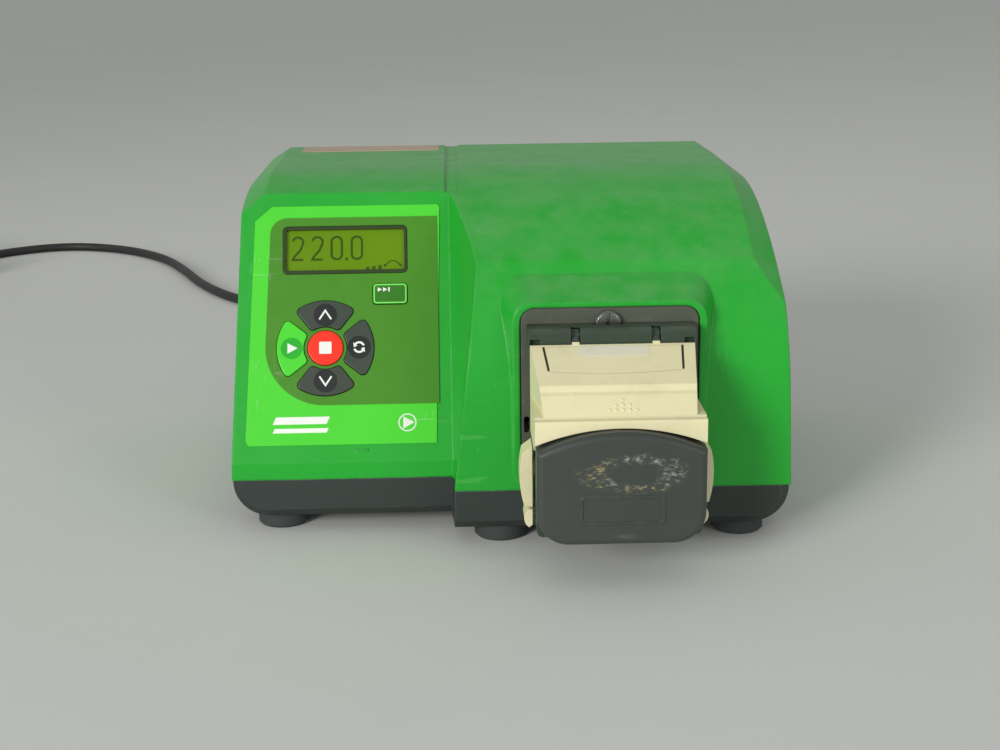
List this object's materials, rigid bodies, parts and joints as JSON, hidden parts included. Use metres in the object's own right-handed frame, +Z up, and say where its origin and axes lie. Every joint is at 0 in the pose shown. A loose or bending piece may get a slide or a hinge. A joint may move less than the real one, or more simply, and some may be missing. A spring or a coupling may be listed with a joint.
{
  "type": "peristaltic pump",
  "caption": "Bench-top peristaltic pump: green cased drive with keypad and display beside a cream flip-top roller pumphead, on rubber feet, with a black mains lead.",
  "frame": {"origin": "On the surface the feet stand on, under the middle of the drive and pumphead without the mains lead.", "axes": "+Z up, -Y the front with keypad and pumphead, +X to the right seen from the front. Metres."},
  "size_m": [0.7007, 0.884, 0.1642],
  "materials": {
    "case_green": "satin powder coat",
    "tray_grey": "fine textured moulding",
    "foot_rubber": "matte rubber",
    "plate_metal": "anodised dark plate",
    "bright_steel": "polished plated steel",
    "steel": "machined steel",
    "head_dark": "glass filled moulding, dark green grey",
    "guard_grey": "satin dark grey moulding",
    "cream": "satin cream moulding",
    "roller_white": "acetal",
    "bronze": "sintered bearing",
    "motor_metal": "plated can",
    "core_iron": "varnished laminations",
    "membrane_green": "bright green film",
    "print_green": "dark green print",
    "key_dark": "dark grey key",
    "key_red": "red key",
    "key_green": "bright green key",
    "black_plastic": "black moulding",
    "clear_window": "clear plastic",
    "lcd_green": "liquid crystal panel",
    "board_green": "printed circuit board",
    "panel_grey": "dark painted sheet",
    "brass": "plated brass",
    "cable_black": "flexible sheath"
  },
  "bodies": {
    "root": {"base_tray": "tray_grey", "case_screws": "steel", "control_board": "board_green", "display_bezel": "black_plastic", "display_window": "clear_window", "feet": "foot_rubber", "foot_screws": "steel", "front_guard": "guard_grey", "fuse_holder": "black_plastic", "gearbox": "motor_metal", "hinge_bar": "head_dark", "hinge_pins": "steel", "inlet_pins": "brass", "keypad_backplate": "panel_grey", "keypad_membrane": "membrane_green", "keypad_print": "print_green", "lcd_module": "lcd_green", "lead_coil": "cable_black", "lead_connector": "cable_black", "lead_tie": "black_plastic", "mains_inlet": "black_plastic", "mains_lead": "cable_black", "mains_plug": "cable_black", "motor": "motor_metal", "mounting_plate": "plate_metal", "panel_screws": "steel", "plug_pins": "brass", "power_board": "board_green", "pumphead_body": "head_dark", "pumphead_screw": "bright_steel", "rear_panel": "panel_grey", "shaft_bearing": "bronze", "signal_ports": "bright_steel", "switch_frame": "black_plastic", "transformer": "core_iron", "upper_case": "case_green", "voltage_selector": "black_plastic"},
    "flip_top": {"flip_top": "cream", "flip_top_panel": "cream"},
    "track": {"track": "cream"},
    "rotor": {"drive_shaft": "steel", "rotor_hub": "guard_grey", "roller_pins": "steel"},
    "roller_1": {"roller_1": "roller_white"},
    "roller_2": {"roller_2": "roller_white"},
    "roller_3": {"roller_3": "roller_white"},
    "roller_4": {"roller_4": "roller_white"},
    "tube_clamp_left": {"tube_clamp_left": "cream"},
    "tube_clamp_right": {"tube_clamp_right": "cream"},
    "size_selector_left": {"size_selector_left": "cream"},
    "size_selector_right": {"size_selector_right": "cream"},
    "power_rocker": {"power_rocker": "black_plastic"},
    "selector_slider": {"selector_slider": "key_red"},
    "fuse_cap": {"fuse_cap": "black_plastic"},
    "key_up": {"key_up": "key_dark"},
    "key_down": {"key_down": "key_dark"},
    "key_direction": {"key_direction": "key_dark"},
    "key_start": {"key_start": "key_green"},
    "key_stop": {"key_stop": "key_red"},
    "key_max": {"key_max": "key_dark"}
  },
  "joints": [
    {"name": "flip_top_hinge", "type": "hinge", "parent": "root", "child": "flip_top", "pos_m": [0.0468, -0.0931, 0.1036], "axis": [-1, 0, 0], "range_deg": [0, 85]},
    {"name": "track_lift", "type": "slide", "parent": "root", "child": "track", "axis": [0, 0, 1], "range_m": [0, 0.0081]},
    {"name": "rotor_spin", "type": "hinge", "parent": "root", "child": "rotor", "pos_m": [0.0468, -0.1161, 0.056], "axis": [0, 1, 0], "continuous": true},
    {"name": "roller_1_spin", "type": "hinge", "parent": "rotor", "child": "roller_1", "pos_m": [0.05811, -0.1161, 0.06731], "axis": [0, 1, 0], "continuous": true},
    {"name": "roller_2_spin", "type": "hinge", "parent": "rotor", "child": "roller_2", "pos_m": [0.03549, -0.1161, 0.06731], "axis": [0, 1, 0], "continuous": true},
    {"name": "roller_3_spin", "type": "hinge", "parent": "rotor", "child": "roller_3", "pos_m": [0.03549, -0.1161, 0.04469], "axis": [0, 1, 0], "continuous": true},
    {"name": "roller_4_spin", "type": "hinge", "parent": "rotor", "child": "roller_4", "pos_m": [0.05811, -0.1161, 0.04469], "axis": [0, 1, 0], "continuous": true},
    {"name": "tube_clamp_left_slide", "type": "slide", "parent": "root", "child": "tube_clamp_left", "axis": [0, 0, 1], "range_m": [0, 0.003], "stiffness_N_per_m": 400},
    {"name": "size_selector_left_slide", "type": "slide", "parent": "root", "child": "size_selector_left", "axis": [0, 1, 0], "range_m": [-0.002, 0.002]},
    {"name": "tube_clamp_right_slide", "type": "slide", "parent": "root", "child": "tube_clamp_right", "axis": [0, 0, 1], "range_m": [0, 0.003], "stiffness_N_per_m": 400},
    {"name": "size_selector_right_slide", "type": "slide", "parent": "root", "child": "size_selector_right", "axis": [0, 1, 0], "range_m": [-0.002, 0.002]},
    {"name": "key_up_press", "type": "slide", "parent": "root", "child": "key_up", "axis": [0, 0.9011, -0.4337], "range_m": [0, 0.0007], "stiffness_N_per_m": 1500},
    {"name": "key_down_press", "type": "slide", "parent": "root", "child": "key_down", "axis": [0, 0.9011, -0.4337], "range_m": [0, 0.0007], "stiffness_N_per_m": 1500},
    {"name": "key_direction_press", "type": "slide", "parent": "root", "child": "key_direction", "axis": [0, 0.9011, -0.4337], "range_m": [0, 0.0007], "stiffness_N_per_m": 1500},
    {"name": "key_start_press", "type": "slide", "parent": "root", "child": "key_start", "axis": [0, 0.9011, -0.4337], "range_m": [0, 0.0007], "stiffness_N_per_m": 1500},
    {"name": "key_stop_press", "type": "slide", "parent": "root", "child": "key_stop", "axis": [0, 0.9011, -0.4337], "range_m": [0, 0.0007], "stiffness_N_per_m": 1500},
    {"name": "key_max_press", "type": "slide", "parent": "root", "child": "key_max", "axis": [0, 0.9011, -0.4337], "range_m": [0, 0.0007], "stiffness_N_per_m": 1500},
    {"name": "power_rocker_tilt", "type": "hinge", "parent": "root", "child": "power_rocker", "pos_m": [-0.088, 0.1411, 0.084], "axis": [0, 0, 1], "range_deg": [-9, 9]},
    {"name": "voltage_select_slide", "type": "slide", "parent": "root", "child": "selector_slider", "axis": [1, 0, 0], "range_m": [0, 0.006]},
    {"name": "fuse_cap_turn", "type": "hinge", "parent": "root", "child": "fuse_cap", "pos_m": [-0.052, 0.1433, 0.056], "axis": [0, 1, 0], "range_deg": [0, 90]}
  ],
  "couplings": [
    {"joint": "track_lift", "follows": "flip_top_hinge", "m_per_rad": 0.005393},
    {"joint": "roller_1_spin", "follows": "rotor_spin", "ratio": -3.6667},
    {"joint": "roller_2_spin", "follows": "rotor_spin", "ratio": -3.6667},
    {"joint": "roller_3_spin", "follows": "rotor_spin", "ratio": -3.6667},
    {"joint": "roller_4_spin", "follows": "rotor_spin", "ratio": -3.6667}
  ]
}
